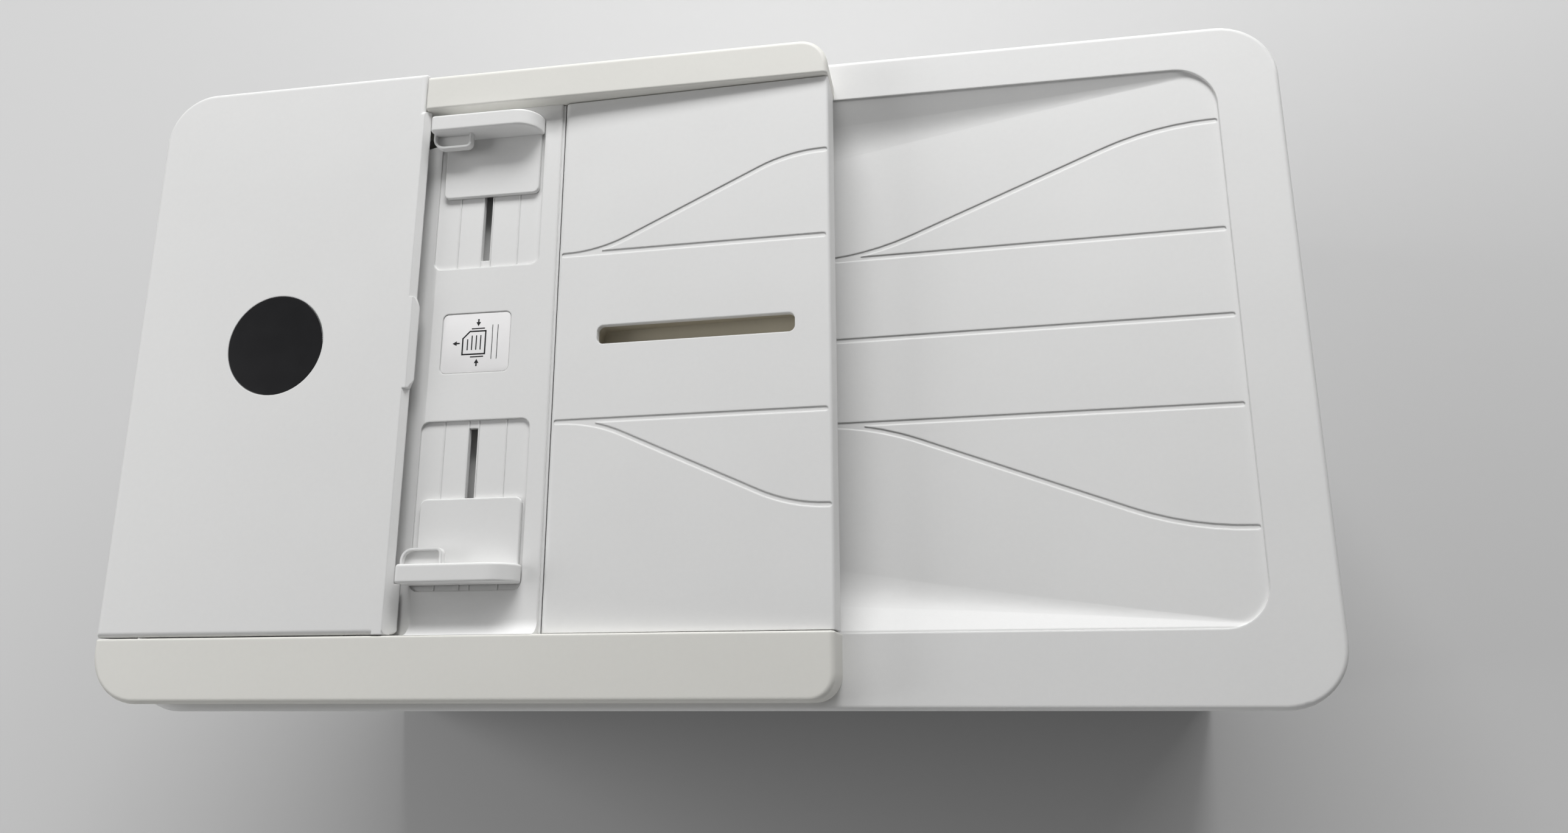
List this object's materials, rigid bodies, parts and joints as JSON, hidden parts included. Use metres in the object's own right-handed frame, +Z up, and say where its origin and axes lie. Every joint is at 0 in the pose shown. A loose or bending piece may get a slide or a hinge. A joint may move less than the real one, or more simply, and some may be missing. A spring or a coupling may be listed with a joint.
{
  "type": "inkjet printer",
  "caption": "Wide desktop inkjet printer with flatbed scanner: hinged lid with sheet feeder and output bed, paper cassette, tilting control panel and service doors.",
  "frame": {"origin": "on the table under the middle of the lid", "axes": "+X to the printer's right, +Y to its back, +Z up"},
  "size_m": [0.585, 0.33, 0.306],
  "materials": {
    "shell_white": "fine texture",
    "rail_white": "fine texture",
    "deck_white": "fine texture",
    "guide_white": "satin",
    "body_white": "fine texture",
    "body_dark": "fine texture",
    "badge_gloss": "gloss",
    "backing_foam": "soft",
    "lid_liner": "satin",
    "polished_steel": "polished",
    "sheet_steel": "zinc plated",
    "motor_steel": "plated",
    "scan_glass": "clear",
    "screen_glass": "gloss",
    "foot_rubber": "matte",
    "roller_rubber": "matte",
    "roller_plastic": "satin",
    "gear_plastic": "natural",
    "belt_rubber": "ribbed",
    "engine_black": "satin",
    "strip_clear": "clear, ruled",
    "guide_grey": "satin",
    "board_green": "lacquered",
    "supply_grey": "satin",
    "ink_black": "gloss",
    "ink_colour": "gloss",
    "button_grey": "satin"
  },
  "bodies": {
    "body": {"base_pan": "body_dark", "side_cover_left": "body_white", "side_cover_right": "body_white", "front_fascia": "body_dark", "rear_cover": "body_white", "rubber_feet": "foot_rubber", "output_tray": "body_dark", "print_platen": "engine_black", "chassis_beam": "sheet_steel", "carriage_rod": "polished_steel", "encoder_strip": "strip_clear", "timing_belt": "belt_rubber", "drive_motors": "motor_steel", "service_station": "engine_black", "main_board": "board_green", "power_supply": "supply_grey", "rear_sockets": "engine_black", "scanner_tub": "body_white", "scanner_bezel": "body_white", "scanner_glasses": "scan_glass", "scan_rod": "polished_steel"},
    "lid": {"lid_shell": "shell_white", "lid_plate": "lid_liner", "backing_pad": "backing_foam", "feeder_frame": "rail_white", "feeder_deck": "deck_white", "hinge_pins": "polished_steel", "feeder_belt": "belt_rubber"},
    "feeder_cover": {"feeder_cover": "shell_white", "cover_badge": "badge_gloss"},
    "carriage": {"carriage": "engine_black", "black_cartridge": "ink_black", "colour_cartridges": "ink_colour"},
    "control_panel": {"control_panel": "body_dark", "touch_screen": "screen_glass"},
    "document_tray": {"document_tray": "shell_white"},
    "guide_back": {"guide_back": "guide_white"},
    "guide_front": {"guide_front": "guide_white"},
    "guide_pinion": {"guide_pinion": "gear_plastic"},
    "feeder_drum": {"feeder_drum": "roller_plastic"},
    "feeder_pick_roller": {"feeder_pick_roller": "roller_rubber"},
    "scan_bar": {"scan_bar": "engine_black"},
    "carriage_pulley": {"carriage_pulley": "gear_plastic"},
    "idler_pulley": {"idler_pulley": "gear_plastic"},
    "feed_roller": {"feed_roller": "roller_rubber"},
    "feed_pinion": {"feed_pinion": "gear_plastic"},
    "idler_gear": {"idler_gear": "gear_plastic"},
    "exit_roller": {"exit_roller": "roller_rubber"},
    "turn_roller": {"turn_roller": "roller_plastic"},
    "pick_arm": {"pick_arm": "engine_black"},
    "pick_roller": {"pick_roller": "roller_rubber"},
    "cassette": {"cassette": "body_dark"},
    "width_guide_left": {"width_guide_left": "guide_grey"},
    "width_guide_right": {"width_guide_right": "guide_grey"},
    "length_guide": {"length_guide": "guide_grey"},
    "output_extension": {"output_extension": "body_dark"},
    "extension_stop": {"extension_stop": "body_dark"},
    "power_button": {"power_button": "button_grey"},
    "cartridge_door": {"cartridge_door": "body_dark"},
    "rear_door": {"rear_door": "body_white"}
  },
  "joints": [
    {"name": "lid_hinge", "type": "hinge", "parent": "body", "child": "lid", "pos_m": [0, 0.157, 0.259], "axis": [-1, 0, 0], "range_deg": [0, 80]},
    {"name": "cover_hinge", "type": "hinge", "parent": "lid", "child": "feeder_cover", "pos_m": [-0.289, 0, 0.2772], "axis": [0, -1, 0], "range_deg": [0, 75]},
    {"name": "tray_hinge", "type": "hinge", "parent": "lid", "child": "document_tray", "pos_m": [-0.0622, 0, 0.2898], "axis": [0, -1, 0], "range_deg": [0, 60]},
    {"name": "guide_back_slide", "type": "slide", "parent": "lid", "child": "guide_back", "axis": [0, -1, 0], "range_m": [0, 0.035]},
    {"name": "guide_front_slide", "type": "slide", "parent": "lid", "child": "guide_front", "axis": [0, 1, 0], "range_m": [0, 0.035]},
    {"name": "guide_pinion_spin", "type": "hinge", "parent": "lid", "child": "guide_pinion", "pos_m": [-0.1053, 0.0143, 0.285], "axis": [0, 0, 1], "continuous": true},
    {"name": "drum_spin", "type": "hinge", "parent": "lid", "child": "feeder_drum", "pos_m": [-0.258, 0, 0.268], "axis": [0, 1, 0], "continuous": true},
    {"name": "feeder_pick_spin", "type": "hinge", "parent": "lid", "child": "feeder_pick_roller", "pos_m": [-0.163, 0, 0.2896], "axis": [0, 1, 0], "continuous": true},
    {"name": "scan_slide", "type": "slide", "parent": "body", "child": "scan_bar", "axis": [1, 0, 0], "range_m": [0, 0.52]},
    {"name": "panel_tilt", "type": "hinge", "parent": "body", "child": "control_panel", "pos_m": [0, -0.1575, 0.1834], "axis": [-1, 0, 0], "range_deg": [0, 60]},
    {"name": "power_press", "type": "slide", "parent": "control_panel", "child": "power_button", "axis": [0, 1, 0], "range_m": [0, 0.0012], "stiffness_N_per_m": 900},
    {"name": "cartridge_door_hinge", "type": "hinge", "parent": "body", "child": "cartridge_door", "pos_m": [0.2, -0.1577, 0.0874], "axis": [1, 0, 0], "range_deg": [0, 95]},
    {"name": "rear_door_hinge", "type": "hinge", "parent": "body", "child": "rear_door", "pos_m": [-0.045, 0.1577, 0.0474], "axis": [-1, 0, 0], "range_deg": [0, 60]},
    {"name": "carriage_slide", "type": "slide", "parent": "body", "child": "carriage", "axis": [-1, 0, 0], "range_m": [0, 0.397]},
    {"name": "carriage_pulley_spin", "type": "hinge", "parent": "body", "child": "carriage_pulley", "pos_m": [0.245, 0.119, 0.15], "axis": [0, 1, 0], "continuous": true},
    {"name": "idler_pulley_spin", "type": "hinge", "parent": "body", "child": "idler_pulley", "pos_m": [-0.245, 0.119, 0.15], "axis": [0, 1, 0], "continuous": true},
    {"name": "turn_roller_spin", "type": "hinge", "parent": "body", "child": "turn_roller", "pos_m": [-0.045, 0.116, 0.06317], "axis": [1, 0, 0], "continuous": true},
    {"name": "feed_roller_spin", "type": "hinge", "parent": "body", "child": "feed_roller", "pos_m": [-0.045, 0.092, 0.09], "axis": [1, 0, 0], "continuous": true},
    {"name": "idler_gear_spin", "type": "hinge", "parent": "body", "child": "idler_gear", "pos_m": [-0.217, 0.068, 0.09], "axis": [1, 0, 0], "continuous": true},
    {"name": "exit_roller_spin", "type": "hinge", "parent": "body", "child": "exit_roller", "pos_m": [-0.045, 0.044, 0.09], "axis": [1, 0, 0], "continuous": true},
    {"name": "feed_pinion_spin", "type": "hinge", "parent": "body", "child": "feed_pinion", "pos_m": [-0.217, 0.068, 0.072], "axis": [1, 0, 0], "continuous": true},
    {"name": "pick_arm_swing", "type": "hinge", "parent": "body", "child": "pick_arm", "pos_m": [-0.045, 0.04, 0.062], "axis": [1, 0, 0], "range_deg": [0, 15]},
    {"name": "pick_roller_spin", "type": "hinge", "parent": "pick_arm", "child": "pick_roller", "pos_m": [-0.045, 0.074, 0.04], "axis": [1, 0, 0], "continuous": true},
    {"name": "cassette_slide", "type": "slide", "parent": "body", "child": "cassette", "axis": [0, -1, 0], "range_m": [0, 0.235]},
    {"name": "width_left_slide", "type": "slide", "parent": "cassette", "child": "width_guide_left", "axis": [1, 0, 0], "range_m": [0, 0.045]},
    {"name": "width_right_slide", "type": "slide", "parent": "cassette", "child": "width_guide_right", "axis": [-1, 0, 0], "range_m": [0, 0.045]},
    {"name": "length_slide", "type": "slide", "parent": "cassette", "child": "length_guide", "axis": [0, 1, 0], "range_m": [0, 0.06]},
    {"name": "extension_slide", "type": "slide", "parent": "body", "child": "output_extension", "axis": [0, -1, 0], "range_m": [0, 0.13]},
    {"name": "stop_hinge", "type": "hinge", "parent": "output_extension", "child": "extension_stop", "pos_m": [-0.045, -0.147, 0.0779], "axis": [1, 0, 0], "range_deg": [0, 80]}
  ],
  "couplings": [
    {"joint": "guide_front_slide", "follows": "guide_back_slide", "ratio": 1},
    {"joint": "guide_pinion_spin", "follows": "guide_back_slide", "rad_per_m": 125},
    {"joint": "feeder_pick_spin", "follows": "drum_spin", "ratio": 2},
    {"joint": "carriage_pulley_spin", "follows": "carriage_slide", "rad_per_m": 166.67},
    {"joint": "idler_pulley_spin", "follows": "carriage_slide", "rad_per_m": 166.67},
    {"joint": "feed_roller_spin", "follows": "turn_roller_spin", "ratio": -2},
    {"joint": "idler_gear_spin", "follows": "turn_roller_spin", "ratio": 2},
    {"joint": "exit_roller_spin", "follows": "turn_roller_spin", "ratio": -2},
    {"joint": "feed_pinion_spin", "follows": "turn_roller_spin", "ratio": -4},
    {"joint": "width_right_slide", "follows": "width_left_slide", "ratio": 1}
  ]
}
